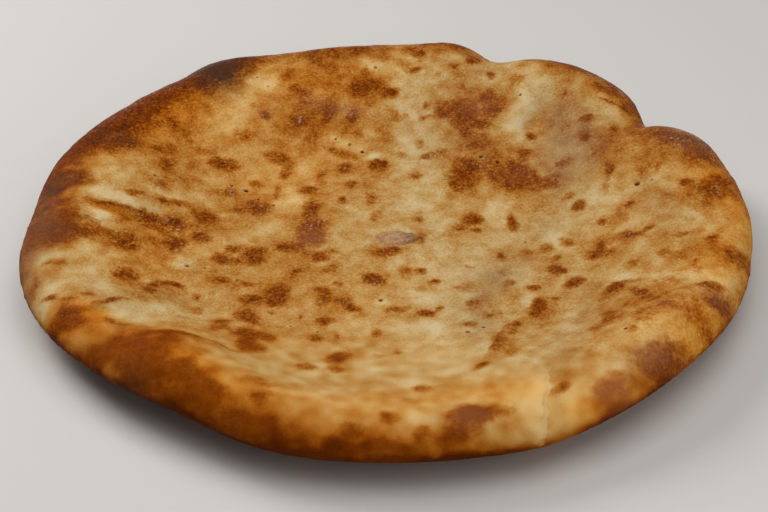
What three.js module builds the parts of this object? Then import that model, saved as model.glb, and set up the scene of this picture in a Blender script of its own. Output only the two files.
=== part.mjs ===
// A lobiani: a round, flat Georgian bread, filled with beans and sealed in one sheet of dough.
// It is one solid, in millimetres, +Z up. The origin is the middle of its plan, at the height of
// the table, +X is the right-hand side and +Y the far side. The disc is dished: its middle lies
// on the table, its thick rim is lifted, and folds run in from the rim.

import * as THREE from "three";

// Driving dimensions, in millimetres.
const MEAN_RADIUS = 140;
const MIDDLE_THICKNESS = 11;
const CREST_HEIGHT = 26.5;
const REST_RADIUS = 84;
const EDGE_LIFT = 8.5;
const EDGE_HEIGHT = 16;
const EDGE_DEPTH = 17;
const DISH_START = 0.48;
const DISH_END = 0.9;

// How finely the surface is divided. Below 1, the crowding brings the rings closer together
// towards the rim, where the folds are.
const SEGMENTS = 120;
const TOP_RINGS = 22;
const EDGE_RINGS = 7;
const UNDER_RINGS = 5;
const RING_CROWDING = 0.72;

// A fold's curve is followed in this many straight runs for each of its points, and the fold
// fades out over this share of its length at either end.
const RUNS_PER_POINT = 6;
const FOLD_FADE = 0.25;

const CRUST = { color: 0xc68f4a, roughness: 0.62, metalness: 0 };

// The outline: each lobe pushes the edge out, or in where it is negative, around one angle.
// Angles are in degrees from +X towards +Y, and amounts in millimetres.
const LOBES = [
  { at: 6, spread: 15, out: 5 },
  { at: 21, spread: 7, out: 3 },
  { at: 32, spread: 4.5, out: -8 },
  { at: 49, spread: 11, out: 4.5 },
  { at: 68, spread: 4.5, out: -6 },
  { at: 76, spread: 5, out: 1.5 },
  { at: 102, spread: 12, out: -3 },
  { at: 124, spread: 8, out: 4 },
  { at: 160, spread: 18, out: 4 },
  { at: 197, spread: 15, out: 5 },
  { at: 238, spread: 12, out: -4 },
  { at: 270, spread: 16, out: -1.5 },
  { at: 343, spread: 15, out: 2.5 },
];

// The rim's height changes on its way round: the same form, in millimetres of height.
const SWELLS = [
  { at: 6, spread: 10, out: 1 },
  { at: 21, spread: 7, out: 3 },
  { at: 32, spread: 5, out: -3.5 },
  { at: 54, spread: 9, out: 1.5 },
  { at: 68, spread: 4, out: -1.5 },
  { at: 78, spread: 6, out: 1 },
  { at: 122, spread: 7, out: 1.5 },
  { at: 178, spread: 6, out: -0.8 },
  { at: 207, spread: 8, out: -1.5 },
  { at: 230, spread: 12, out: 2 },
  { at: 293, spread: 6, out: -1.5 },
  { at: 318, spread: 12, out: 1.5 },
  { at: 338, spread: 5, out: -1.5 },
];

// The crest of the rim is lower on the near side, where the bread sags over it.
const CRESTS = [
  { at: 272, spread: 30, out: -4 },
];

// The dish starts to rise at a share of the radius that changes on its way round: long slopes on
// the far and near sides, and shorter ones at the left and the near right, up to thicker rolls.
const SLOPES = [
  { at: 88, spread: 62, out: -0.16 },
  { at: 150, spread: 20, out: 0.05 },
  { at: 205, spread: 24, out: 0.1 },
  { at: 272, spread: 26, out: -0.05 },
  { at: 320, spread: 16, out: 0.06 },
];

// Soft mounds and hollows on top: centre, the two radii, the turn of the first radius, height.
const MOUNDS = [
  { name: "front left roll", x: -68, y: -104, along: 38, across: 16, turn: -33, height: 3 },
  { name: "lower left knob", x: -113, y: -76, along: 15, across: 11, turn: -50, height: 2.5 },
  { name: "front roll", x: 12, y: -119, along: 38, across: 12, turn: 2, height: 1 },
  { name: "front right roll", x: 98, y: -82, along: 30, across: 15, turn: 42, height: 3.5 },
  { name: "far right pillow", x: 86, y: 88, along: 20, across: 13, turn: -42, height: 3.5 },
  { name: "right pillow", x: 118, y: 40, along: 18, across: 12, turn: -65, height: 2 },
  { name: "left flap", x: -108, y: 20, along: 22, across: 9, turn: -12, height: 2.5 },
  { name: "left pale hollow", x: -112, y: -42, along: 17, across: 9, turn: 5, height: -2 },
  { name: "right hollow", x: 112, y: -28, along: 22, across: 12, turn: 10, height: -1.5 },
  { name: "middle swell", x: 38, y: 40, along: 26, across: 30, turn: 0, height: 1.4 },
  { name: "left swell", x: -46, y: 6, along: 26, across: 20, turn: 0, height: 1.2 },
];

// Folds on top run along a curve through their points. A fold is a ridge, or a trough where its
// height is negative.
const FOLDS = [
  { name: "upper left crease", height: -2.2, width: 5, path: [[-124, 8], [-106, 4], [-88, 3], [-74, -4]] },
  { name: "lower left crease", height: -1.8, width: 5, path: [[-126, -3], [-112, -11], [-100, -20]] },
  { name: "left ridge", height: 2.6, width: 7, path: [[-130, -57], [-106, -60], [-92, -52], [-78, -42]] },
  { name: "left trough", height: -2.4, width: 9, path: [[-118, -68], [-98, -69], [-80, -70]] },
  { name: "front left gap", height: -2.6, width: 6, path: [[-100, -108], [-97, -92], [-90, -80]] },
  { name: "front crease", height: -0.9, width: 8, path: [[-84, -80], [-50, -92], [0, -101], [40, -102]] },
  { name: "right ridge", height: 2.2, width: 6, path: [[31, -98], [36, -82], [41, -69], [52, -55]] },
  { name: "right trough", height: -2, width: 9, path: [[62, -110], [62, -90], [72, -72]] },
  { name: "far right trough", height: -2.6, width: 8, path: [[58, 62], [68, 76], [80, 104]] },
  { name: "far right notch", height: -2.6, width: 7, path: [[122, 74], [106, 66], [92, 60]] },
  { name: "far notch", height: -2.4, width: 7, path: [[56, 138], [50, 120], [46, 104]] },
  { name: "middle trough", height: -1.3, width: 12, path: [[62, 0], [44, -20], [32, -52]] },
];

// A bank has its face on one side of its curve: the dough on the left of its direction of travel
// stands higher along the line, and falls away over its reach.
const BANKS = [
  { name: "left flap edge", height: 1.8, width: 3, reach: 12, path: [[-78, 0], [-92, 4], [-122, 8]] },
  { name: "right roll edge", height: 2.4, width: 4, reach: 18, path: [[134, -50], [112, -56], [80, -42]] },
  { name: "front seam", height: -1.6, width: 4, reach: 16, path: [[54, -102], [55, -116], [53, -134]] },
];

// Long, low waves that keep the dough from looking turned on a lathe.
const WAVES = [
  { length: 92, turn: 20, phase: 0.4, height: 0.5 },
  { length: 67, turn: 75, phase: 2.1, height: 0.45 },
  { length: 49, turn: 131, phase: 4.0, height: 0.35 },
  { length: 38, turn: 48, phase: 1.2, height: 0.25 },
];

const clamp01 = (value) => Math.min(1, Math.max(0, value));
const radians = (degrees) => (degrees * Math.PI) / 180;

function smoothStep(from, to, value) {
  const t = clamp01((value - from) / (to - from));
  return t * t * (3 - 2 * t);
}

// The sum of bell curves around the disc, at one angle in degrees.
function aroundDisc(bells, angle) {
  return bells.reduce((sum, { at, spread, out }) => {
    const away = ((angle - at + 540) % 360) - 180;
    return sum + out * Math.exp(-((away / spread) ** 2));
  }, 0);
}

// How square the section is at a share of the radius: 1 over the flat part, falling to 0 round the
// edge along a quarter ellipse.
function edgeSquareness(share) {
  const intoEdge = (share * MEAN_RADIUS - (MEAN_RADIUS - EDGE_DEPTH)) / EDGE_DEPTH;
  return Math.sqrt(1 - clamp01(intoEdge) ** 2);
}

// Shares of the radius from the middle to the edge: steps that shrink towards the rim, then steps
// of even turn round the edge.
function ringShares(flatRings, edgeRings) {
  const edgeStart = 1 - EDGE_DEPTH / MEAN_RADIUS;
  const shares = [];
  for (let i = 0; i < flatRings; i++) {
    shares.push(edgeStart * (i / flatRings) ** RING_CROWDING);
  }
  for (let i = 0; i <= edgeRings; i++) {
    const turn = (Math.PI / 2) * (i / edgeRings);
    shares.push(edgeStart + (1 - edgeStart) * Math.sin(turn));
  }
  return shares;
}

// Half the section of a plain flat disc, from the middle of the underside to the middle of the
// top, as points of radius and height. Every vertex is raised to its own height later.
function discSection() {
  const under = ringShares(UNDER_RINGS, EDGE_RINGS);
  const top = ringShares(TOP_RINGS, EDGE_RINGS).reverse().slice(1);
  return [
    ...under.map((share) => new THREE.Vector2(share * MEAN_RADIUS, 0)),
    ...top.map((share) => new THREE.Vector2(share * MEAN_RADIUS, MIDDLE_THICKNESS)),
  ];
}

// A curve through a fold's points, as a list of short straight runs.
function foldRuns({ path }) {
  const points = path.map(([x, y]) => new THREE.Vector3(x, y, 0));
  return new THREE.CatmullRomCurve3(points).getPoints(path.length * RUNS_PER_POINT);
}

// How far a point lies from a fold, which side of it, and how near the fold's ends it is.
function fromFold(runs, x, y) {
  let best = { distance: Infinity, side: 1, along: 0 };
  for (let i = 0; i + 1 < runs.length; i++) {
    const [a, b] = [runs[i], runs[i + 1]];
    const [dx, dy] = [b.x - a.x, b.y - a.y];
    const t = clamp01(((x - a.x) * dx + (y - a.y) * dy) / (dx * dx + dy * dy));
    const [ox, oy] = [x - a.x - t * dx, y - a.y - t * dy];
    const distance = Math.hypot(ox, oy);
    if (distance < best.distance) {
      best = { distance, side: Math.sign(dx * oy - dy * ox) || 1, along: (i + t) / (runs.length - 1) };
    }
  }
  return best;
}

const fadeAtEnds = (along) => smoothStep(0, FOLD_FADE, Math.min(along, 1 - along));

const foldCurves = FOLDS.map((fold) => ({ ...fold, runs: foldRuns(fold) }));
const bankCurves = BANKS.map((bank) => ({ ...bank, runs: foldRuns(bank) }));

function moundHeight({ x, y, along, across, turn, height }, px, py) {
  const [c, s] = [Math.cos(radians(turn)), Math.sin(radians(turn))];
  const u = ((px - x) * c + (py - y) * s) / along;
  const v = ((py - y) * c - (px - x) * s) / across;
  return height * Math.exp(-(u * u + v * v));
}

function foldHeight({ runs, height, width }, x, y) {
  const { distance, along } = fromFold(runs, x, y);
  return height * Math.exp(-((distance / width) ** 2)) * fadeAtEnds(along);
}

function bankHeight({ runs, height, width, reach }, x, y) {
  const { distance, side, along } = fromFold(runs, x, y);
  const step = smoothStep(-width, width, side * distance);
  return height * step * Math.exp(-((distance / reach) ** 2)) * fadeAtEnds(along);
}

function waveHeight({ length, turn, phase, height }, x, y) {
  const run = x * Math.cos(radians(turn)) + y * Math.sin(radians(turn));
  return height * Math.sin((2 * Math.PI * run) / length + phase);
}

// Everything that lifts or sinks the top, at a point of the plan.
function topRelief(x, y) {
  const total = (list, heightOf) => list.reduce((sum, item) => sum + heightOf(item, x, y), 0);
  return (
    total(MOUNDS, moundHeight) +
    total(foldCurves, foldHeight) +
    total(bankCurves, bankHeight) +
    total(WAVES, waveHeight)
  );
}

// The height of the top face: the dish, and the relief on it.
function topHeight(share, angle, x, y) {
  const rise = smoothStep(DISH_START + aroundDisc(SLOPES, angle), DISH_END, share);
  const crest = CREST_HEIGHT + aroundDisc(CRESTS, angle);
  return MIDDLE_THICKNESS + (crest - MIDDLE_THICKNESS) * rise + topRelief(x, y);
}

// The height of the underside: flat where it rests, then lifting towards the edge.
function underHeight(share) {
  return EDGE_LIFT * smoothStep(REST_RADIUS / MEAN_RADIUS, 1 - EDGE_DEPTH / MEAN_RADIUS / 2, share);
}

// Moves a vertex of the flat disc to its place: out to the uneven outline, and up to its height.
// The swells of the rim carry its underside with them.
function shapeVertex(point, isTop) {
  const share = Math.hypot(point.x, point.y) / MEAN_RADIUS;
  const angle = (THREE.MathUtils.radToDeg(Math.atan2(point.y, point.x)) + 360) % 360;
  const nearEdge = smoothStep(DISH_START, 1, share);
  const stretch = 1 + (nearEdge * aroundDisc(LOBES, angle)) / MEAN_RADIUS;
  point.x *= stretch;
  point.y *= stretch;
  const level = isTop ? topHeight(share, angle, point.x, point.y) : underHeight(share);
  const swellFrom = isTop ? DISH_START : REST_RADIUS / MEAN_RADIUS;
  const swell = aroundDisc(SWELLS, angle) * smoothStep(swellFrom, 1, share);
  point.z = EDGE_HEIGHT + (level - EDGE_HEIGHT) * edgeSquareness(share) + swell;
}

function breadGeometry() {
  const section = discSection();
  const geometry = new THREE.LatheGeometry(section, SEGMENTS);
  geometry.rotateX(Math.PI / 2);
  const edgeIndex = UNDER_RINGS + EDGE_RINGS;
  const position = geometry.getAttribute("position");
  const point = new THREE.Vector3();
  for (let i = 0; i < position.count; i++) {
    point.fromBufferAttribute(position, i);
    shapeVertex(point, i % section.length > edgeIndex);
    position.setXYZ(i, point.x, point.y, point.z);
  }
  geometry.computeBoundingBox();
  const middle = geometry.boundingBox.getCenter(new THREE.Vector3());
  geometry.translate(-middle.x, -middle.y, 0);
  geometry.computeVertexNormals();
  return geometry;
}

function buildBread() {
  const bread = new THREE.Mesh(breadGeometry(), new THREE.MeshStandardMaterial(CRUST));
  bread.name = "lobiani";
  return bread;
}

const lobiani = new THREE.Group();
lobiani.add(buildBread());

export default lobiani;
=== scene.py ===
# %% [markdown]
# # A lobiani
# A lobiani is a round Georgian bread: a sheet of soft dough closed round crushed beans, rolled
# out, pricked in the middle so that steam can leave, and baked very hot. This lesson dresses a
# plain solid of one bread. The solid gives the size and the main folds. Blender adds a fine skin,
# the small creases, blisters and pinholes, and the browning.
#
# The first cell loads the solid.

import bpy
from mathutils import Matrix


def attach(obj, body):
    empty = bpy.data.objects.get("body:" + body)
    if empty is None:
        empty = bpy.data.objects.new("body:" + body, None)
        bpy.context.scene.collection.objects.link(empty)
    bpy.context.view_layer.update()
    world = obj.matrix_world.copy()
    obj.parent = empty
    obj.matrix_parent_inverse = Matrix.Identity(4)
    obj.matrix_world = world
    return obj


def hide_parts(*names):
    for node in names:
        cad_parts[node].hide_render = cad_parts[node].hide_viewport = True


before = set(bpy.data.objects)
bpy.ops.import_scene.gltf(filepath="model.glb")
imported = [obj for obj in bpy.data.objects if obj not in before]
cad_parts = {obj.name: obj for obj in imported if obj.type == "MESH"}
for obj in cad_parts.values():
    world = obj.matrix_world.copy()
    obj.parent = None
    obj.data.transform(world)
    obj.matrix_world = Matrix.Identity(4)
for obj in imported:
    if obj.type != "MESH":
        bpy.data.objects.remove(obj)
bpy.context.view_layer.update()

# %% [markdown]
# ## Camera, floor and light
# A bread on a table is looked at from about a forearm's length above the table edge. A long lens
# keeps the near rim from looming.

# %% Place the camera
from math import cos, radians, sin

import bmesh
import bpy
import numpy as np
from mathutils import Vector, noise

MM = 0.001
scene = bpy.context.scene
scene.view_settings.view_transform = "Standard"

LENS_MM = 85
LOOK_DOWN = radians(35.7)
LOOK_DISTANCE = 0.708
LOOK_AT = Vector((-0.0023, -0.0186, 0.014))

camera = bpy.data.objects.new("camera", bpy.data.cameras.new("camera"))
camera.data.lens = LENS_MM
camera.data.sensor_width = 36
camera.location = LOOK_AT + LOOK_DISTANCE * Vector((0, -cos(LOOK_DOWN), sin(LOOK_DOWN)))
camera.rotation_euler = (radians(90) - LOOK_DOWN, 0, 0)
scene.collection.objects.link(camera)
scene.camera = camera
print("camera at", [round(v, 3) for v in camera.location])

# %% [markdown]
# The floor is one flat pale square, far wider than the bread, so that its edge stays out of sight.

# %% Lay the floor
def principled(material):
    """The inputs of a material's main shader."""
    return material.node_tree.nodes["Principled BSDF"].inputs


FLOOR_SIZE = 6
floor_shape = bmesh.new()
bmesh.ops.create_grid(floor_shape, x_segments=1, y_segments=1, size=FLOOR_SIZE / 2)
floor_mesh = bpy.data.meshes.new("floor")
floor_shape.to_mesh(floor_mesh)
floor_shape.free()
floor = bpy.data.objects.new("floor", floor_mesh)
scene.collection.objects.link(floor)

paint = bpy.data.materials.new("pale table")
paint.use_nodes = True
principled(paint)["Base Color"].default_value = (0.62, 0.61, 0.6, 1)
principled(paint)["Roughness"].default_value = 0.7
floor_mesh.materials.append(paint)
print("floor, m:", FLOOR_SIZE)

# %% [markdown]
# Crust needs two lights. A soft window on the far left rakes over it and gives every blister a
# bright and a dark side. A wide sheet overhead fills the dish, so that its browning can be
# judged. A weak fill keeps the near rim readable, and a faint even sky lifts the shadows. The
# plain colour transform, set above, keeps the crust's colours as they are mixed.

# %% Hang the lights
def soft_light(name, place, size, watts, colour):
    """A square sheet of light that faces the bread."""
    sheet = bpy.data.objects.new(name, bpy.data.lights.new(name, "AREA"))
    sheet.data.size = size
    sheet.data.energy = watts
    sheet.data.color = colour
    sheet.location = place
    sheet.rotation_euler = (-Vector(place)).to_track_quat("-Z", "Y").to_euler()
    scene.collection.objects.link(sheet)
    return sheet


DAYLIGHT = (1.0, 0.97, 0.93)
soft_light("window", place=(-0.75, 0.55, 0.8), size=0.6, watts=8.7, colour=DAYLIGHT)
soft_light("overhead", place=(0.1, -0.15, 1.2), size=1.2, watts=8.6, colour=(1.0, 0.98, 0.96))
soft_light("near fill", place=(0.6, -0.62, 0.45), size=0.7, watts=1.9, colour=DAYLIGHT)

sky = bpy.data.worlds.new("sky")
sky.use_nodes = True
sky.node_tree.nodes["Background"].inputs["Color"].default_value = (1.0, 0.96, 0.9, 1)
sky.node_tree.nodes["Background"].inputs["Strength"].default_value = 0.135
scene.world = sky

# %% [markdown]
# ## A fine, even skin
# The plain bread has broad flat facets. Its copy is smoothed by a subdivision surface and then
# wrapped by a voxel remesh, which lays squares of one size all over it. A lathe's rings would be
# crowded in the middle and sparse at the rim, and details need the same care everywhere. The
# top is then cut finer than the underside, which is seen less.

# %% Wrap the plain bread
NODE = "lobiani"
SKIN_SQUARE_MM = 2.6


def with_modifiers_applied(thing):
    """Replaces the object's mesh by what its modifiers make of it."""
    seen = thing.evaluated_get(bpy.context.evaluated_depsgraph_get())
    made = bpy.data.meshes.new_from_object(seen)
    thing.modifiers.clear()
    thing.data = made


bread = bpy.data.objects.new("bread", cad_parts[NODE].data.copy())
scene.collection.objects.link(bread)
bread.data.materials.clear()
work = bmesh.new()
work.from_mesh(bread.data)
bmesh.ops.remove_doubles(work, verts=work.verts, dist=0.01 * MM)
bmesh.ops.join_triangles(
    work, faces=work.faces, angle_face_threshold=radians(30), angle_shape_threshold=radians(60)
)
work.to_mesh(bread.data)
work.free()

smoothing = bread.modifiers.new("smoothing", "SUBSURF")
smoothing.levels = 1
smoothing.render_levels = 1
wrap = bread.modifiers.new("wrap", "REMESH")
wrap.mode = "VOXEL"
wrap.voxel_size = SKIN_SQUARE_MM * MM
with_modifiers_applied(bread)
print("wrapped skin:", len(bread.data.polygons), "squares")


# %% Read and write the skin as arrays
class Skin:
    """The bread's vertices as arrays: points in millimetres, and the way each one faces."""

    def __init__(self, piece):
        self.piece = piece
        self.read()

    def read(self):
        """Reads the points and the ways they face from the mesh."""
        mesh = self.piece.data
        flat = np.empty(len(mesh.vertices) * 3, np.float32)
        mesh.vertices.foreach_get("co", flat)
        self.points = flat.reshape(-1, 3).astype(float) / MM
        mesh.vertex_normals.foreach_get("vector", flat)
        self.facing = flat.reshape(-1, 3).astype(float)
        self.facing_up = self.facing[:, 2]
        self.x, self.y, self.z = self.points.T

    def move(self, amount):
        """Moves every vertex by its amount of millimetres, along the way it faces."""
        self.points = self.points + amount[:, None] * self.facing
        flat = (self.points * MM).astype(np.float32).ravel()
        self.piece.data.vertices.foreach_set("co", flat)
        self.piece.data.update()
        self.read()

    def refine(self, chosen):
        """Cuts every edge between two chosen vertices in half."""
        shape = bmesh.new()
        shape.from_mesh(self.piece.data)
        edges = [e for e in shape.edges if chosen[e.verts[0].index] and chosen[e.verts[1].index]]
        bmesh.ops.subdivide_edges(shape, edges=edges, cuts=1, use_grid_fill=True)
        shape.to_mesh(self.piece.data)
        shape.free()
        self.read()


skin = Skin(bread)
skin.refine(skin.facing_up > -0.4)
print("cut finer on top:", len(bread.data.polygons), "faces")

# %% [markdown]
# ## Placing things on the bread
# Everything on the crust is placed on the plan of the bread, in millimetres from its middle,
# with +X to the right and +Y away. An oval is its middle, its two radii and its turn. Real baked
# marks are never ovals, so the plan is first warped by a slow noise and a quick one. Lines, such
# as creases, are a few points with a smooth curve through them.

# %% Helpers for lumps and ovals
def ramp(start, end, value):
    """Rises smoothly from 0 at start to 1 at end. End may be below start."""
    t = np.clip((value - start) / (end - start), 0, 1)
    return t * t * (3 - 2 * t)


def bell(value):
    """1 at 0, falling softly to 0 on both sides: it is about a third at 1."""
    return np.exp(-(value**2))


def on_top(value):
    """The value on the top and the rim, nothing on the underside."""
    return value * ramp(-0.5, 0.0, skin.facing_up)


def lumps(size, seed):
    """One number a vertex between about -1 and 1, with lumps of the given size in millimetres."""
    shift = np.array([17.3, 5.9, 9.1]) * seed
    places = skin.points / size + shift
    return np.array([noise.noise(place) for place in places.tolist()])


def turned(x, y, long, wide, turn, plan):
    """Each vertex's place on an oval's own two axes, counted in its radii."""
    c, s = cos(radians(turn)), sin(radians(turn))
    px, py = plan[0] - x, plan[1] - y
    return (px * c + py * s) / long, (py * c - px * s) / wide


def oval(x, y, long, wide, turn, plan, sharpness=1.0):
    """1 in the middle of an oval, falling softly to 0 outside it."""
    u, v = turned(x, y, long, wide, turn, plan)
    return np.exp(-((u * u + v * v) ** sharpness))


plan = (skin.x, skin.y)
print("a test oval covers", int((oval(0, 0, 10, 5, 0, plan) > 0.5).sum()), "vertices")


# %% Helpers for lines
def curve_points(path, steps=8):
    """Points of a smooth curve through the path, as Catmull and Rom's formula gives it."""
    path = np.array(path, float)
    padded = np.vstack([2 * path[0] - path[1], path, 2 * path[-1] - path[-2]])
    made = []
    for a, b, c, d in zip(padded, padded[1:], padded[2:], padded[3:]):
        for t in np.arange(steps) / steps:
            straight = 2 * b + (c - a) * t
            bent = (2 * a - 5 * b + 4 * c - d) * t**2
            made.append(0.5 * (straight + bent + (3 * b - a - 3 * c + d) * t**3))
    return np.vstack([made, path[-1]])


def from_line(path):
    """For each vertex: how far it is from the line, on which side (1 is left), and how far along
    the line its nearest place is, from 0 to 1."""
    runs = curve_points(path)
    best = np.full(len(skin.x), np.inf)
    side = np.ones(len(skin.x))
    along = np.zeros(len(skin.x))
    for i, (a, b) in enumerate(zip(runs, runs[1:])):
        d = b - a
        t = np.clip(((skin.x - a[0]) * d[0] + (skin.y - a[1]) * d[1]) / (d @ d), 0, 1)
        ox, oy = skin.x - a[0] - t * d[0], skin.y - a[1] - t * d[1]
        away = np.hypot(ox, oy)
        nearer = away < best
        best[nearer] = away[nearer]
        side[nearer] = np.where(d[0] * oy - d[1] * ox < 0, -1.0, 1.0)[nearer]
        along[nearer] = ((i + t) / (len(runs) - 1))[nearer]
    return best, side, along


def fading(along, share=0.25):
    """1 along a line, falling to 0 over the given share of its length at both ends."""
    return ramp(0, share, np.minimum(along, 1 - along))


print("a test line is nearest", round(float(from_line([(0, 0), (20, 5), (40, 0)])[0].min()), 2), "mm")

# %% [markdown]
# ## Folds pinched in the dough
# When the filled ball is rolled out, its gathered edge folds over itself here and there. The
# solid has the broad rolls and troughs. What is missing is the lip of each fold: one side
# stands up and laps over a narrow dark gap, then sinks back over a centimetre or two. Each lip
# is one smooth line, with the side that laps over on its left. Each lip also carries two changes
# of colour: browning, with painted light on the lip and painted shade below it, and painted
# shade in its gap.

# %% Fold lips
FOLD_LIPS = [
    # height, width it sinks back over, width of its step, gap depth, scallops,
    # change of colour on the lip and below it, partly painted light and painted shade, points
    (0.7, 8, 0.3, 0.12, 0.3, -0.05, 0.35,
     [(-125, 8.6), (-119, 5.6), (-114, 5), (-108, 5.4), (-100, 5), (-94, 5.4)]),
    (0.8, 6, 0.35, 0.08, 1.2, -0.1, 0.4,
     [(-126, -3.6), (-121, -4.4), (-117, -5.6), (-110, -10.6), (-102, -16)]),
    (0.8, 9, 2.0, 0.0, 0.5, 0.0, 0.0,
     [(-124, -68), (-113, -69), (-105, -64.5), (-99, -59), (-93, -48)]),
    (0.6, 5, 0.6, 0.05, 0.4, 0.15, 0.0,
     [(-76, -43), (-80, -38.5), (-86, -36.5), (-92, -39), (-97, -47)]),
    (0.6, 12, 1.0, 0.02, 0.4, 0.1, 0.0, [(-56, -90), (-63, -84), (-73, -82), (-84, -83.5), (-97, -88)]),
    (1.1, 10, 0.7, 0.0, 0.5, 0.22, -0.05,
     [(55, -52), (47, -57), (42, -64), (38.5, -74), (36, -82), (33, -91)]),
    # the near right seam: paler on its lip as painted light, darker to its right as painted shade
    (0.8, 6, 1.3, 0.02, 1.4, -0.16, 0.16,
     [(50, -135), (51.5, -127), (52.5, -117), (54, -108), (55, -94)]),
    (0.9, 9, 1.0, 0.03, 0.4, 0.0, 0.1,
     [(127, -54), (118, -53), (109, -60), (100, -60), (94, -47), (84, -39)]),
    (0.5, 4, 0.9, 0.03, 0.3, 0.0, 0.1, [(108, -69.5), (102, -69.5), (96, -73.5)]),
    (0.4, 3, 0.7, 0.0, 0.3, 0.0, 0.07, [(90, 86), (84, 90), (76, 95)]),
    (0.4, 3, 0.7, 0.0, 0.3, 0.0, 0.08, [(96, 81), (91, 84.5), (83, 84.5)]),
    (0.5, 4, 0.7, 0.0, 0.3, 0.0, 0.08, [(105, 70.5), (99, 73), (94, 75.5), (87, 79.5)]),
]


def scalloped(away, side, scallops):
    """How far out over the lip a vertex is. Small uneven scallops bend the edge."""
    return away * side + scallops * (lumps(5, 41) + 0.6 * lumps(2.6, 42))


def lip_height(lip):
    """The lip stands up over its gap and sinks back behind."""
    height, reach, step, gap, scallops, _, _, path = lip
    away, side, along = from_line(path)
    out = scalloped(away, side, scallops)
    lapped = height * ramp(-step, step, out) * np.exp(-np.maximum(out, 0) / reach)
    shadow = 1.5 * gap * bell((out + step + 0.1) / 0.35)
    return (lapped - shadow) * fading(along)


def lip_browning_light_and_shade(lip):
    """The change of colour on the lip and below it: browning, with painted light on the lip and painted
    shade below it, and painted shade in the gap between them.
    """
    _, _, step, gap, scallops, lip_tone_and_light, low_tone_and_shade, path = lip
    away, side, along = from_line(path)
    out = scalloped(away, side, scallops) + step
    change = np.where(out > 0, lip_tone_and_light, low_tone_and_shade) * np.abs(2 * ramp(-0.5, 0.5, out) - 1)
    gap_shade = 2 * gap * bell((out + 0.1) / 0.5)
    return (change * np.exp(-np.abs(out) / 4) + gap_shade) * fading(along)


print("fold lips:", len(FOLD_LIPS))

# %% Soft folds
SOFT_FOLDS = [
    # height, half width, points: a soft ridge, or a soft trough where the height is negative
    (-1.1, 4.5, [(80, 87), (72, 80.5), (66, 76.5), (61, 70), (57, 60)]),
    (0.7, 4.0, [(74, 95), (64, 88), (57, 80), (53, 71), (51, 62)]),
    (-0.5, 1.6, [(-106, -73), (-100, -75.2), (-94, -77), (-86, -79.5)]),
    (0.6, 2.2, [(-122, -1), (-114, -2.5), (-107, -7), (-100, -12)]),
    (-0.4, 1.5, [(-90, -92), (-74, -90), (-58, -96)]),
    (0.5, 3.0, [(62, -60), (60, -75), (62, -92)]),
    (-0.5, 3.0, [(70, -52), (70, -68), (66, -84)]),
]


def fold_height(height, half_width, path):
    """A soft ridge or trough along a line."""
    away, _, along = from_line(path)
    return height * bell(away / half_width) * fading(along, 0.35)


print("soft folds:", len(SOFT_FOLDS))

# %% [markdown]
# Steam leaves through pinholes that the cook pricks, and through one larger vent in the middle,
# where a thin flake of dough has dried. The skin is cut finer only where such small things go,
# twice at the pinholes and along the lips.

# %% Pinholes and the vent
PINHOLES = [
    # x, y, radius, reach of the pale ring
    (-23, 66, 0.4, 2), (-17, 63, 0.6, 3), (-11.5, 58.5, 0.65, 3), (-5.5, 54, 0.6, 4), (-6, 109, 0.6, 4),
    (-65.5, 35, 0.5, 1), (-59.5, 33, 0.8, 2), (-54, 26.5, 0.5, 1), (-47.5, 21.5, 0.6, 1),
    (-96, 28.5, 0.6, 2), (-53, 94.5, 0.4, 3), (-58, 100, 0.35, 2), (57, 87, 0.5, 2),
    (38.7, 53, 0.75, 2), (45.5, 49.3, 0.7, 2), (100.2, 19.5, 0.85, 4), (106, 19.5, 0.4, 3),
    (-79, -22, 0.7, 5), (-72, -23, 0.45, 2), (-59, -30, 0.5, 1), (-3.5, -42.5, 0.75, 3),
    (-37, -61, 0.4, 1), (-27, -64, 0.4, 1), (28.8, -64, 0.7, 2), (34.8, -61, 0.65, 2),
    (83.8, -83.5, 0.6, 2), (54, -4, 0.4, 2),
]
# x, y, long, wide, turn
VENT = (2.5, -3.5, 7.5, 4.6, -8)


def near_a_lip(width):
    """Whether each vertex is within the width of a fold lip's line."""
    return np.min([from_line(path)[0] for *_, path in FOLD_LIPS], axis=0) < width


def near_a_pinhole(width):
    """Whether each vertex is within the width of a pinhole's middle."""
    return np.min([np.hypot(skin.x - x, skin.y - y) for x, y, *_ in PINHOLES], axis=0) < width


skin.refine(near_a_lip(2.8) & (skin.facing_up > -0.2))
skin.refine(near_a_pinhole(2.8) & (skin.facing_up > 0.3))
skin.refine(near_a_pinhole(1.5) & (skin.facing_up > 0.3))
skin.refine(near_a_lip(1.2) & (skin.facing_up > -0.2))
folds = sum(lip_height(lip) for lip in FOLD_LIPS) + sum(fold_height(*fold) for fold in SOFT_FOLDS)
skin.move(on_top(folds))
print("with folds:", len(bread.data.polygons), "faces")

# %% [markdown]
# ## Brown spots
# An oven browns what it reaches first: the rim, the crests and every blister that puffs up. So
# the crust is a pale ground with nearly three hundred brown spots. They are placed one by one,
# because their gathering into patches and arcs is what makes this bread this bread. Each spot
# is an oval on the warped plan, and its last number is a turn, where it has one. Where two
# overlap they darken together without ever passing black, as two coats of glaze would: the bare
# share left by each is multiplied.

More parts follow.
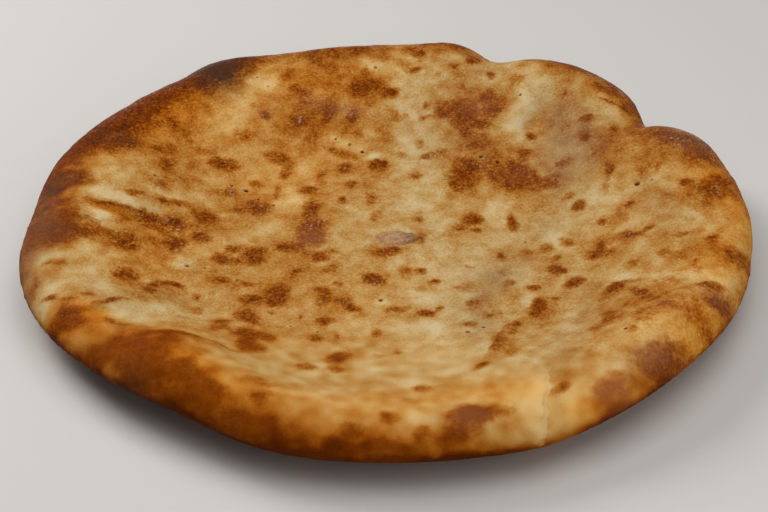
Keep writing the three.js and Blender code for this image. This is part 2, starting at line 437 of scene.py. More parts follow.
# %% Brown spots of the far left quarter
FAR_LEFT_SPOTS = [
    # x, y, long, wide, strength in hundredths, turn
    (-62, 105, 4, 10, 60, -20), (-113, 48.5, 7, 5.5, 100), (-128, 17, 7, 5, 100), (-137, 22, 3, 6, 60),
    (-13, 95, 5, 5, 90), (-7, 99, 5, 4, 70), (0.5, 94, 4.5, 3.5, 90), (-9, 87, 2, 2, 50),
    (-27, 83, 5, 5, 90), (-16, 79, 3, 5, 85), (-28, 76, 2, 3, 70), (-38.5, 75, 4, 3.5, 90),
    (-42, 77, 2, 2, 60), (-53.5, 77, 3, 3.5, 90), (-59, 82, 2, 2, 40), (-33, 114, 3.5, 4, 65),
    (-45, 105, 3, 3, 50), (-42, 94, 4, 5, 60), (-36, 91, 3.5, 4, 55), (-22, 103, 2.5, 2.5, 60),
    (-33, 106, 2.5, 2.5, 50), (-11, 106, 2, 4, 60), (-37, 85, 3, 3, 60), (-12, 124, 4, 6, 60),
    (-27, 124, 5, 4, 50), (-62, 64, 5, 4, 50), (-69, 47, 8, 4, 80), (-80, 52, 3, 2, 50),
    (-84, 55, 3, 2, 50), (-93, 65, 4, 3, 50), (-86, 60, 2, 3, 50), (-95, 47, 3, 2, 50),
    (-92, 38, 4, 5, 60), (-94, 22, 5, 4, 50), (-103, 13, 5, 2, 70), (-88, 14, 8, 3, 70, 15),
    (-74, 10, 7, 5, 85, -30), (-97, 3, 6, 4, 80), (-86, 3, 6, 4, 80), (-45.5, 54, 7, 4, 75, -20),
    (-44, 45, 2.5, 4, 60), (-65.5, 30.5, 4, 3, 75), (-54, 19, 4.8, 7, 100, 20), (-62, 17, 4, 4, 55),
    (-46, 35, 2, 3, 60), (-34, 33, 3.5, 3.5, 70), (-47, 29, 2, 3, 55), (-19.5, 24.5, 2.5, 3.5, 75),
    (-16.5, 37, 2.5, 3.5, 70), (-18, 49, 3, 4, 75), (-5, 49, 4.6, 4.4, 100), (-20, 58, 9, 2.5, 60, -30),
    (-33, 67, 4, 3, 50), (-32, 17, 4, 8, 80), (-31, 3, 7, 8, 75), (-56, 37, 4, 3, 50),
    (-28, 42, 2.5, 6, 50), (-98, 46, 4, 3, 40), (-14, 69, 3, 3, 45), (-8, 26, 2.5, 6, 55),
    (-5, 14, 3, 6, 50, -30), (-91, 29, 4, 2.5, 40), (-78, 5, 3, 3, 50),
]
print("spots:", len(FAR_LEFT_SPOTS))

# %% Brown spots of the far right quarter
FAR_RIGHT_SPOTS = [
    (14, 119, 4, 4, 70), (5, 113, 3.5, 3.5, 45), (10.5, 108, 4, 2.5, 70, 15), (28, 109.5, 2.3, 2.3, 75),
    (21, 104, 1.4, 1.4, 50), (31, 105.5, 2.5, 2.5, 55), (37, 114, 3, 5, 80, -28), (44, 105, 2.5, 4, 40),
    (55, 97, 4, 4, 45), (32.5, 98, 2.5, 2.5, 55), (15.5, 87, 2, 3.2, 65), (15, 79, 3.5, 2, 65, 28),
    (3, 81, 5, 4, 50), (25, 83, 6, 6, 75), (33, 84, 6, 7, 85), (42, 90, 5, 4, 85), (44, 82, 4, 5, 80),
    (32, 75, 5, 6, 75), (40, 73, 4, 3, 75), (50, 86, 4, 4, 50), (34, 67, 4, 4, 50), (36, 60, 4, 4, 55),
    (13.5, 64, 2, 3, 50), (16.5, 54.5, 3.5, 2.5, 75), (22, 57, 3, 3, 50), (31, 46, 7, 7, 80),
    (30, 38, 6, 6, 80), (30, 31, 3, 3, 60), (46, 41, 5, 5, 80), (52, 43, 6, 6, 95), (57, 53, 3, 4, 75),
    (58, 38, 5, 4, 75), (52, 35, 5, 4, 75), (62, 33, 6, 4, 70), (68, 34, 4, 4, 60),
    (73, 43, 4, 3, 70, 30), (10.5, 41, 2.5, 2.5, 60), (60, 65, 2.6, 3.8, 95), (83.5, 67, 3.4, 2.4, 95),
    (82, 57, 3.2, 3.6, 90), (86, 47, 1.5, 5, 50), (90, 33, 2.6, 4.8, 86), (95, 60, 2, 4, 60),
    (73, 24, 4, 2.5, 65, 20), (76.5, 17, 3.2, 3.2, 90), (102, 26, 2, 4, 55), (109, 26, 2, 4, 50),
    (92, 10, 2, 2, 45), (96, 9, 2, 3.5, 60), (33, 10, 5, 5, 86), (49.5, 8, 2.5, 6, 85),
    (11, 10, 3, 2.5, 60), (27, 4, 2.5, 3, 60), (34, 2, 3, 2, 70), (84, 4, 3, 2.5, 65),
    (125, 37, 8, 6, 90, -60), (118, 42, 4, 4, 70), (128, 8, 7, 6, 85), (119, 13, 4, 3, 70),
    (138, 15, 3, 10, 50), (105, 77, 5, 3, 60), (108, 70, 5, 4, 60), (94, 76, 6, 1.5, 60, -20),
    (97, 81, 7, 1.5, 40, -25), (45, 103, 3, 3.5, 65), (75, 86, 4, 4, 50), (5, 56, 3, 4, 45),
    (75, 65, 4, 6, 40), (36, 78, 9, 9, 35), (40, 50, 12, 7, 35), (52, 40, 13, 8, 35, -10),
    (88, 26, 2, 7, 35), (28, 128, 8, 3, 50), (99, 74, 7, 0.9, 20, -22),
]
print("spots:", len(FAR_RIGHT_SPOTS))

# %% Brown spots of the near left quarter
NEAR_LEFT_SPOTS = [
    (-130, -15, 9, 14, 100, -10), (-128, -20, 5, 6, 50), (-118, -14, 6, 5, 70), (-104, -14, 6, 5, 80),
    (-101, -18, 4, 3, 60), (-94, -2, 5, 3, 70), (-85, -10, 5, 6, 80), (-76, -3, 5, 4, 80),
    (-66.5, -17, 5, 3.5, 85, -35), (-63, -11, 3, 3, 70), (-53, -13, 6, 5, 80), (-52, -18, 4, 3, 80),
    (-60, -18, 3, 3, 60), (-40, -10, 6, 4, 85, 20), (-28, -14, 5, 4, 75), (-31, -4, 8, 5, 72),
    (-22, -10, 3, 3, 50), (-36, -24, 3, 3, 60), (-24, -22, 3, 3, 50), (-6, -30, 5, 4, 85),
    (-54, -33.5, 3.5, 2, 75), (-43, -36, 6, 5, 85), (-43, -43, 5, 6, 85), (-26, -37, 3.5, 4, 70),
    (-54, -43, 5, 3.5, 80, 15), (-25, -43, 5, 4, 70), (-17, -44, 4, 4, 65), (-14, -48, 3, 3, 80),
    (-65, -31, 4, 3, 65), (-84, -36, 6, 2.5, 75), (-90, -44, 3.5, 7, 80, -15),
    (-100, -37, 5, 6, 75, -50), (-127, -38, 5, 2, 60), (-133, -48, 2, 6, 55), (-54, -54.5, 5, 4.5, 90),
    (-51, -60, 3, 3, 60), (-45, -53, 2, 2, 50), (-73, -53, 3, 4, 50), (-74, -43, 2, 4, 50),
    (-24, -57, 3.5, 4.5, 70), (-33, -54, 1.5, 3, 45), (-63, -61, 3.5, 2.5, 70), (-64, -67, 4, 5, 60),
    (-53, -69, 7, 6, 80), (-45, -71, 4, 4, 70), (-28, -67.5, 3, 3, 70), (-20, -66, 1.5, 3, 50),
    (-5, -64, 2.5, 4, 55), (-51, -82, 5, 6, 75), (-52, -76, 4, 6, 60), (-31, -91, 4.5, 3, 65),
    (-19, -82, 4.5, 6, 85, -25), (-19, -92, 4, 3, 55, -20), (-103, -62, 9, 1.5, 65, 35),
    (-112, -60, 4, 1.5, 75), (-126, -58, 4, 1.5, 70, -30), (-119, -62, 4, 1.5, 60, -25),
    (-116, -73, 8, 4.5, 75, -35), (-105, -90, 5, 4, 80, -40), (-100, -74, 5, 3, 50, -20),
    (-88, -92, 12, 8, 80), (-80, -82, 10, 3, 70, 10), (-77, -88, 5, 4, 60), (-68, -95, 4, 4, 30),
    (-82, -104, 10, 6, 85, -35), (-88, -105, 5, 5, 80), (-72, -103, 5, 5, 70),
    (-65, -112, 12, 5, 80, -32), (-50, -127, 12, 4, 95, -25), (-45, -118, 5, 4, 60),
    (-13, -131, 5, 4, 80), (-1, -125, 3, 4, 70), (-68, -41, 2.5, 3, 40), (-45, -110, 9, 3.5, 45),
    (-96, -75, 8, 1.2, 45, -14), (-75, -83, 14, 1.4, 50, 5), (-60, -85, 6, 1.4, 40, -20),
    (-20, -31, 3.5, 3, 50), (-5, -81, 3, 3, 40), (-76, -68, 6, 9, 30),
]
print("spots:", len(NEAR_LEFT_SPOTS))

# %% Brown spots of the near right quarter
NEAR_RIGHT_SPOTS = [
    (-1, -12, 6, 4, 68), (12.5, -4, 2.5, 5, 55), (6, -25, 3, 3.5, 60), (12, -25, 2.5, 2, 70),
    (17, -31, 3, 2, 75), (11, -35, 2, 2, 50), (31, -21, 3, 1.5, 50), (43, -13, 2, 2.5, 85),
    (46, -32, 3, 2.5, 65, 30), (54, -10, 3, 2, 60), (62, -9, 4, 3, 60, -30),
    (65, -24, 3.5, 4.5, 85, 25), (66, -16, 2.5, 3, 60), (55, -36, 3, 2.5, 85), (71, -35, 4.4, 3.6, 95),
    (80, -19, 3, 4, 85, 20), (83, -13, 2, 4, 75), (86.5, -19, 1.5, 2, 60), (95, -11, 5, 3, 75, -25),
    (101, -9, 3, 2, 60), (113, -18, 4, 2, 60), (93, -30, 3, 3, 45), (105, -27, 3, 3, 55),
    (123, -24, 4, 3, 65, 30), (132, -33, 8, 6, 70), (70, -5, 3, 4, 70, 30), (33, -44, 4, 3, 60, 25),
    (3, -48, 7, 2.5, 55, 15), (13, -50.5, 4, 2, 85), (18, -48, 2, 2, 60), (57, -47, 3.5, 5, 85, -20),
    (55, -53, 4, 4, 70), (64, -43, 3, 1.5, 65), (36, -54, 3, 2, 50, 35), (41, -53, 1, 2, 60),
    (29, -58, 3, 2, 70), (47, -60, 3, 2, 70, 30), (45, -66, 3, 5, 50), (40, -75, 4, 6, 60),
    (43, -85, 4, 4, 50), (32, -92, 4, 2, 65, 30), (3, -77, 2.5, 3, 50), (85, -43, 4, 3.5, 85),
    (92.5, -55, 11, 2.7, 65, -65), (80, -68, 3, 8, 65), (118, -56, 7, 4, 70, 25),
    (120, -64, 6, 4, 90, 20), (101, -71, 4, 3, 65), (111, -73, 6, 8, 60), (86, -84, 2.5, 2.5, 50),
    (95.5, -95.5, 13, 6, 78, 32), (76, -110, 9, 4.5, 65, 30), (79, -115, 7, 2.2, 60, 30),
    (58.5, -110, 5.5, 2.3, 62, 38), (26, -125, 8, 6, 82), (22, -132, 5, 4, 90),
    (34, -121, 9, 4.5, 60, 12), (2, -123, 3, 3, 30), (10, -132, 4, 4, 60), (12, -104, 4.5, 3.5, 60),
    (37, -82, 3, 4, 60), (91, -75, 5, 8, 55), (75, -74, 3.5, 6, 55), (62, -95, 3.5, 4, 25),
    (72, -89, 8, 5, 25), (45, -25, 3, 3.5, 50), (28, -35, 7, 3.5, 40), (34, -49, 6, 4, 40),
    (84, -48, 4, 4.5, 55), (115, -41, 3, 7, 40), (4, -11, 6, 2, 40), (80, -28, 3, 3, 40),
    (104, -50, 7, 6, 40), (92, -43, 6, 3, 45, -20), (99, -64, 5, 2, 50, 30),
]
print("spots:", len(NEAR_RIGHT_SPOTS))


# %% Warp the plan and lay the spots on it
SPOTS = FAR_LEFT_SPOTS + FAR_RIGHT_SPOTS + NEAR_LEFT_SPOTS + NEAR_RIGHT_SPOTS
SPOT_SHARPNESS = 1.5


def warped_plan():
    """The plan bent by a slow noise and a quick one, so that an oval gets a baked outline."""
    x = skin.x + 1.6 * lumps(13, 1) + 0.9 * lumps(4.5, 2)
    y = skin.y + 1.6 * lumps(13, 3) + 0.9 * lumps(4.5, 4)
    return x, y


def screened(rows, plan, spread=1.0, sharpness=1.0):
    """Ovals laid over each other as coats of glaze, up to 1."""
    bare = np.ones(len(skin.x))
    for x, y, long, wide, hundredths, *turn in rows:
        radii = (spread * long, spread * wide)
        bare *= 1 - hundredths / 100 * oval(x, y, *radii, *(turn or [0]), plan, sharpness)
    return 1 - bare


spots = on_top(screened(SPOTS, warped_plan(), sharpness=SPOT_SHARPNESS))
print("brown spots:", len(SPOTS), "on a share of the top of", round(float((spots > 0.4).mean()), 2))

# %% [markdown]
# ## Blisters and an uneven top
# The same spots lift the dough: each is the cap of a small steam blister. In a few places many
# bubbles stand side by side, and these clusters are round caps made cell by cell. The rest of
# the crust has a slow unevenness from the beans and a small one from the dough.

# %% Bubbles, pinholes and the flake
BLISTER_CLUSTERS = [
    # x, y, reach
    (-18, 82, 5), (-38, 75, 4), (-53, 77, 4), (-73, 97, 7), (-97, 4, 4), (-86, 2, 6), (-76, -4, 4),
    (-84, -12, 5), (-66, -18, 4), (-54, 17, 6), (-31, 13, 4), (-31, 5, 5), (20, 56, 3), (38, 48, 5),
    (-6, -31, 4), (-17, -44, 3), (94, -11, 4), (84, 3, 3), (120, 40, 6), (130, 8, 5), (93, -61, 4),
    (-95, 22, 4), (-66, 30, 3), (-17, 49, 3),
]
BUBBLE_MM = 2.3
PINHOLE_LIP = 0.12
PINHOLE_DEPTH = 1.8


def blister_share():
    """1 in a cluster of blisters, 0 away from them all."""
    return screened([(x, y, reach, reach, 100) for x, y, reach in BLISTER_CLUSTERS], warped_plan())


def bubbles(wanted, seed=17):
    """Round caps of uneven width, packed side by side, on the wanted vertices only."""
    made = np.zeros(len(skin.x))
    shift = np.array([3.7, 8.1, 1.9]) * seed
    for i in np.flatnonzero(wanted):
        away, middles = noise.voronoi((skin.points[i] / BUBBLE_MM + shift).tolist())
        width = 0.5 + 0.3 * noise.noise(middles[0] * 5.3)
        made[i] = max(0.0, 1 - (away[0] / width) ** 2)
    return made


def pinhole_height(x, y, radius, _):
    """A narrow hole with a low lip round it."""
    away = np.hypot(skin.x - x, skin.y - y) / radius
    return PINHOLE_LIP * bell((away - 1.6) / 0.6) - PINHOLE_DEPTH * np.exp(-(away**4))


def vent_place():
    """How far out on the vent's ragged flake each vertex is: 1 at its edge."""
    x = skin.x + 1.3 * lumps(4, 51) + 0.5 * lumps(1.8, 55)
    y = skin.y + 1.3 * lumps(4, 52) + 0.5 * lumps(1.8, 56)
    return np.hypot(*turned(*VENT, (x, y)))


print("blister clusters:", len(BLISTER_CLUSTERS), "and pinholes:", len(PINHOLES))

# %% Puff the top
UNEVENNESS = [
    # height, size of the lumps, seed: two slow ones from the beans, two small ones of the dough
    (0.5, 26, 11), (0.3, 12, 12), (0.16, 6, 13), (0.1, 3.4, 14),
]
FLAKE_HEIGHT = 0.5
FLAKE_GAP = 0.35
SPOT_PUFF = 0.5
BUBBLE_HEIGHT = 0.6

skin.refine((blister_share() > 0.35) & (skin.facing_up > 0.3))
skin.refine((vent_place() < 1.5) & (skin.facing_up > 0.3))
clustered = blister_share()
bubbled = bubbles(clustered > 0.2) * ramp(0.2, 0.7, clustered)
flake = vent_place()
vent = FLAKE_HEIGHT * ramp(1.05, 0.85, flake) * (1 + 0.5 * lumps(3, 53))
vent -= FLAKE_GAP * bell((flake - 1.1) / 0.1) * ramp(0, 3, VENT[1] - skin.y)
uneven = sum(height * lumps(size, seed) for height, size, seed in UNEVENNESS)
spots = on_top(screened(SPOTS, warped_plan(), sharpness=SPOT_SHARPNESS))
puff = SPOT_PUFF * spots * (0.5 + lumps(3.6, 15)) + BUBBLE_HEIGHT * bubbled
holes = sum(pinhole_height(*hole) for hole in PINHOLES)
skin.move(on_top(uneven + puff + holes + vent))
print("bread, mm:", [round(float(v), 1) for v in np.ptp(skin.points, axis=0)])

# %% [markdown]
# ## The ground under the spots
# A second field, the ground, holds the slow browning between the spots: the well fired rim, the
# golden far half, and the pale hollows that the heat missed. Along the near rim's foot part of its
# darkening is painted shade. The ground is kept apart from the spots, so that the material can
# give them a ragged edge and leave the ground soft. The ground is a sum of wide soft ovals. The
# rows are like those of the spots, but here a share may be negative.

# %% Tones of the rim
RIM_TONES = [
    # x, y, long, wide, hundredths of browning, turn
    # the far left rim, well fired
    (-100, 94, 34, 9, 30, 45), (-75, 112, 12, 9, 20, 20), (-122, 58, 8, 22, 16, -25),
    (-140, 22, 7, 30, 18), (-141, -24, 6, 26, 20), (-107, 82, 10, 10, 12), (0, 130, 34, 5, 16),
    (-118, -12, 5, 5, 10), (-134, 8, 10, 36, 36), (-132, -14, 8, 14, 15), (-124, 50, 24, 15, 40, 65),
    (-106, 74, 24, 17, 44, 52), (-84, 98, 22, 16, 45, 38), (-68, 112, 14, 10, 40, 30),
    (-25, 120, 34, 12, 38, 3), (30, 126, 20, 8, 35, -8), (-112, 62, 42, 13, 15, 55),
    (-84, 98, 16, 12, 14, 38), (-131, 32, 8, 14, 15, -10), (-126, 14, 6, 6, 10), (-104, 27, 8, 6, 10),
    (-105, -2, 5, 4, 15),
    # the far right rim
    (104, 86, 8, 10, 16, -30), (122, 62, 8, 10, 16), (143, 24, 4, 14, 10), (84, 105, 14, 5, 16, -25),
    (78, 104, 16, 9, 50, -45), (96, 86, 14, 9, 43, -45), (112, 60, 9, 14, 40, -30),
    (120, 42, 14, 10, 30), (134, 28, 7, 16, 25), (127, 4, 6, 8, 15),
    # the near rim and roll, darker towards the front foot partly as painted shade
    (-72, -118, 14, 7, 12, -30), (-40, -130, 20, 6, 14, -10), (142, -16, 7, 26, -20),
    (122, -72, 12, 14, -22, 45), (100, -98, 18, 8, -16, 40), (54, -122, 20, 9, -20),
    (20, -142, 40, 5, -12), (128, -50, 6, 6, -15), (-98, -86, 14, 12, 32), (-84, -98, 18, 10, 30, -20),
    (-70, -116, 16, 6, 20, -30), (-48, -124, 16, 6, 20, -20), (-20, -136, 28, 6, 35),
    (20, -134, 22, 6, 22), (138, -28, 6, 22, 10),
]
print("tones on the rim:", len(RIM_TONES))

# %% Golden and greyish tones
GOLDEN_TONES = [
    # the golden far half
    (-25, 97, 24, 14, 26), (-35, 75, 24, 9, 18), (-2, 69, 5, 5, 30), (42, 62, 15, 16, 26),
    (74, 72, 14, 9, 18), (92, 53, 14, 14, 36), (80, 44, 7, 7, -10), (58, 32, 14, 10, 14),
    (106, 32, 16, 10, 12), (105, 4, 20, 5, 16), (85, -12, 10, 9, 15), (90, -60, 12, 14, 16),
    (-50, -28, 30, 18, 8), (-62, 24, 10, 10, 12), (-8, 28, 3, 8, 15), (26, -9, 5, 4, 15),
    (116, -34, 6, 8, 15), (-100, -42, 7, 6, 40), (-102, 56, 14, 9, 15), (-14, 60, 22, 7, 12, -25),
    (-30, 60, 6, 5, 10), (45, -45, 6, 5, 16), (104, 16, 7, 12, 14), (125, -4, 5, 8, 16),
    (94, -15, 6, 5, 12), (27, -65, 8, 6, 12), (5, -54, 9, 4, 13), (56, -65, 5, 7, 12),
    (75, -94, 7, 7, 16), (55, -85, 5, 6, 12), (41, -105, 9, 7, 10), (-35, -70, 7, 7, 13),
    (-115, -68, 7, 9, 20), (-47, -95, 9, 6, 15), (-86, -95, 8, 6, 12), (-28, -128, 12, 7, 14),
    (25, 23, 4, 5, 14), (-84, -25, 12, 6, 12),
    # greyish dough over the filling
    (33, -58, 6, 8, 12), (118, -42, 7, 9, 10), (72, -90, 8, 8, -12),
]
print("golden tones:", len(GOLDEN_TONES))

# %% Pale hollows on the left
PALE_LEFT_TONES = [
    (-109, 9, 13, 2.6, -30, -5), (-113, -3, 8, 2.4, -30, -22), (-90, 18, 9, 4, -12),
    (-36, 24, 4, 4, -14), (-68, 34, 5, 4, -12), (-97, 57, 5, 5, -16), (-122, -33, 15, 5, -14),
    (-90, -33, 14, 5, -14), (-66, -99, 10, 6, -20), (-38, -80, 8, 6, -20), (-33, -38, 4, 8, -16),
    (-45, -55, 8, 10, -10), (-20, -6, 8, 9, -12), (-9, 111, 5, 5, -16), (7, 118, 6, 16, -14),
    (-56, -98, 8, 5, -12), (-75, -12, 9, 6, -10), (-56, 98, 8, 15, -30, -15), (-66, 78, 9, 14, -22),
    (-108, 24, 14, 9, -22), (-106, 10, 17, 4, -26), (-88, 19, 14, 5, -26, 10), (-41, 24, 8, 7, -20),
    (-40, 52, 8, 5, -18), (-58, 48, 8, 6, -16), (-10, 112, 9, 5, -15), (-40, 111, 7, 6, -15),
    (-20, 65, 7, 3, -15, -25), (-6, 55, 4, 3, -20), (-92, -66, 14, 8, -26, -10),
    (-112, -46, 15, 12, -16), (-118, -28, 12, 5, -15), (-112, -6, 8, 4, -26, -35),
    (-80, -58, 8, 6, -10), (-18, 4, 6, 12, -14), (-46, 3, 6, 7, -16), (-78, -15, 9, 6, -20),
    (-126, -57, 7, 5, -14),
]
print("pale tones on the left:", len(PALE_LEFT_TONES))

# %% The pale middle and the pale hollows on the right
PALE_RIGHT_TONES = [
    # the middle and the near right
    (8, 90, 9, 24, -26), (14, 48, 9, 20, -22), (6, 17, 11, 9, -20), (43, 20, 9, 10, -20),
    (46, -2, 8, 10, -16), (65, -1, 9, 7, -18), (20, -16, 16, 14, -20), (18, -45, 17, 18, -22),
    (18, -72, 22, 14, -18), (-14, -37, 6, 6, -16), (-14, -56, 8, 7, -14), (-21, -73, 7, 6, -14),
    (12, -96, 30, 12, -14), (-40, -96, 28, 10, -10), (-20, -116, 26, 8, -10), (11, -125, 8, 7, -20),
    (48, -116, 18, 9, -30), (52, -88, 11, 15, -14), (82, -102, 12, 7, -20, 30),
    (96, -85, 16, 9, -30, 20), (112, -70, 10, 7, -16), (134, -18, 7, 20, -14), (118, -50, 12, 8, -20),
    (96, -4, 6, 4, -12), (65, -35, 9, 6, -18), (51, -26, 7, 5, -20), (51, -48, 5, 7, -15),
    (64, -67, 7, 6, -16), (87, -35, 8, 5, -14),
    # hollows on the right
    (24, 98, 4, 8, -14), (30, 117, 9, 5, -12), (95, 68, 9, 4, -10), (68, -27, 4, 5, -18),
    (96, -25, 6, 6, -18), (110, -70, 7, 6, -14), (92, -97, 10, 5, -12, 30), (118, -4, 5, 4, -16),
    (95, -4, 5, 4, -14), (64, -4, 6, 6, -16), (44, 28, 6, 6, -14), (72, 25, 4, 4, -12),
    (55, 107, 3, 6, -14), (66, -113, 10, 5, -16), (12, -121, 5, 7, -14), (53, -46, 4, 9, -14),
    (0, -44, 4, 3, -14), (-13, -35, 4, 4, -12), (54, 70, 7, 10, -28), (60, 92, 9, 10, -22),
    (46, 102, 7, 6, -15), (94, 69, 9, 4, -20, -10), (81, 20, 8, 8, -20), (113, 20, 6, 6, -10),
    (52, 70, 5, 8, -15, 20), (4, 86, 9, 7, -14), (5, 107, 8, 7, -12), (-55, 106, 6, 8, -14),
    (95, 67, 8, 7, -14), (11, 42, 8, 9, -10), (76, 24, 6, 6, -10), (84, 14, 6, 5, -10),
    (73, -27, 7, 6, -13), (97, -45, 10, 6, -18, -20), (113, -50, 12, 9, -15), (86, -85, 7, 6, -16),
    (110, -70, 8, 6, -10), (134, -36, 6, 9, -12), (-26, -86, 9, 6, -16), (-4, -84, 6, 7, -12),
    (5, -103, 9, 7, -16), (-26, -104, 8, 6, -10), (-115, -9, 9, 8, -14, -30), (-96, -36, 7, 5, -14),
    (-56, -6, 8, 7, -16), (-62, -16, 9, 5, -10), (-27, -12, 7, 6, -12), (-66, -54, 10, 8, -8),
    (22, 63, 7, 6, -12), (43, 0, 8, 7, -8), (25, -135, 30, 6, -2),
]
print("pale tones in the middle and on the right:", len(PALE_RIGHT_TONES))

# %% [markdown]
# Wide ovals alone leave a bread too even. A baker would see that one crest caught the heat and
# that the dough beside it did not, so single places are settled one by one: first ovals, then
# small round touches, each looked at and set.

# %% Tones of single places
SINGLE_TONES = [
    (-98, 52, 6, 5, -5), (-128, 17, 8, 6, 12), (-131, -17, 9, 9, 12), (-120, -25, 8, 6, 10),
    (-112, 8, 8, 2.4, -10, -8), (-112, 1, 9, 2.2, 10, -10), (120, 46, 7, 6, 8), (134, 17, 5, 7, 8),
    (97, -95, 8, 5, -8, 30), (76, -111, 6, 4, -8, 30), (-70, -92, 7, 4, 12, -20), (72, 78, 4, 7, 6, 30),
    (64, 72, 4, 6, 8, 30), (60, 81, 5, 6, -20, 30), (52, 66, 5, 6, -12), (112, 47, 5, 6, 10),
    # rows about y -130 to -136 darken the near rim's foot, partly as painted shade
    (93, 78, 6, 5, -14, -30), (-114, -72, 10, 6, 12, -30), (-40, -131, 8, 4, 14), (-8, -136, 16, 4, 18),
    (10, -136, 12, 4, 12), (20, -134, 8, 4, 15), (-23, -135, 10, 3, 8), (54, -127, 9, 5, -5),
    (72, -117, 7, 5, 16, 30), (84, -108, 8, 4, 10, 35), (94, -101, 7, 4, 12, 35), (131, -32, 5, 8, 5),
    (-10, -104, 30, 7, 3), (119, -70, 4, 8, 26, -35), (112, -76, 4, 5, 10, -35),
    (96, -101, 8, 3, 16, 40), (74, -118, 8, 3, 18, 30), (-22, -130, 7, 3, -8), (134, 15, 5, 8, 12),
    (126, -33, 4, 6, 10), (66, 93, 6, 4, -12), (-27, 103, 5, 4, -10), (-50, 113, 5, 4, 12),
    (-45, 98, 5, 4, 8), (-137, 19, 5, 9, 14), (-127, 12, 5, 5, 12), (-139, -27, 4, 8, 20),
    (-130, -34, 4, 5, -14), (-121, -71, 6, 6, 12), (-98, -99, 5, 4, -25, -40), (124, -58, 5, 5, 6),
    (-112, 8, 9, 2.4, -8, -8), (64, 71, 4, 5, 8, 30), (60, 81, 5, 5, -12, 30),
    (-100, 75, 22, 10, -5, 50), (70, 85, 5, 5, -10, 30), (114, -70, 10, 9, 17), (105, -62, 8, 6, 15),
    (-98, -99, 6, 4, -12, -40), (-22, -128, 10, 3, -6), (-5, -132, 14, 4, -6), (74, -116, 8, 3, 6, 30),
    (92, 78, 5, 4, -8, -30), (112, 47, 4, 5, 10), (-10, 123, 10, 4, 10), (86, -102, 10, 5, 10, 35),
    (53, -128, 8, 4, 10), (95, -100, 7, 4, 10, 35), (-120, -71, 5, 5, 10), (58, -122, 6, 5, 8),
    (28, -131, 5, 3, 12), (-61, -100, 5, 3, 12), (-75, -107, 5, 3, -10), (-34, -124, 3, 4, -12),
    (-33, -85, 4, 3, 10), (-8, -33, 4, 3, 14), (0, -52, 4, 2, 14), (2, -95, 12, 3, 10),
    (-11, 57, 3, 3, 12), (12, 77, 4, 3, 13), (12, 103, 3, 5, 12), (-30, 62, 5, 3, 10),
    (22, 55, 5, 3, 10), (-97, 45, 7, 4, 13), (-86, 53, 4, 4, 13), (-94, 26, 14, 5, 12),
    (-60, 26, 12, 6, 10), (-72, 4, 4, 3, 16), (-105, -5, 7, 4, 20, -20), (-120, -11, 8, 6, -12),
    (-128, 28, 7, 5, -10), (-66, 85, 16, 6, -10, 15), (-42, 113, 3, 5, -12), (84, 89, 5, 4, -10),
    (82, 70, 9, 4, -8), (95, 52, 9, 8, -5), (77, 8, 11, 9, -10), (-4, 4, 4, 4, -12), (14, 4, 4, 3, -10),
    (1, -17, 4, 2, 10), (33, -13, 8, 4, 12), (92, -33, 4, 3, 10), (108, -52, 11, 6, -13),
    (47, -62, 5, 6, -12), (62, -62, 5, 8, -7), (75, -100, 5, 5, -10), (98, -78, 6, 3, 10, 30),
    (-105, -77, 8, 8, -10), (-47, -76, 6, 4, -8), (-62, -83, 5, 3, -8), (-96, -51, 4, 6, 12),
    (-107, -50, 6, 5, -8), (-82, -22, 3, 3, -10), (-58, -23, 12, 3, 10), (-12, -17, 5, 6, -8),
    (-25, -15, 4, 4, -10), (-17, 9, 3, 5, -10), (-11, 1, 3, 3, 10), (-34, 38, 4, 3, -10),
    (-37, 28, 4, 3, 10), (22, 31, 6, 5, -8), (-57, -38, 6, 5, -8), (74, -42, 5, 3, -8),
    (64, 108, 6, 3, -8), (72, 106, 7, 4, 8),
]
print("tones of single places:", len(SINGLE_TONES))

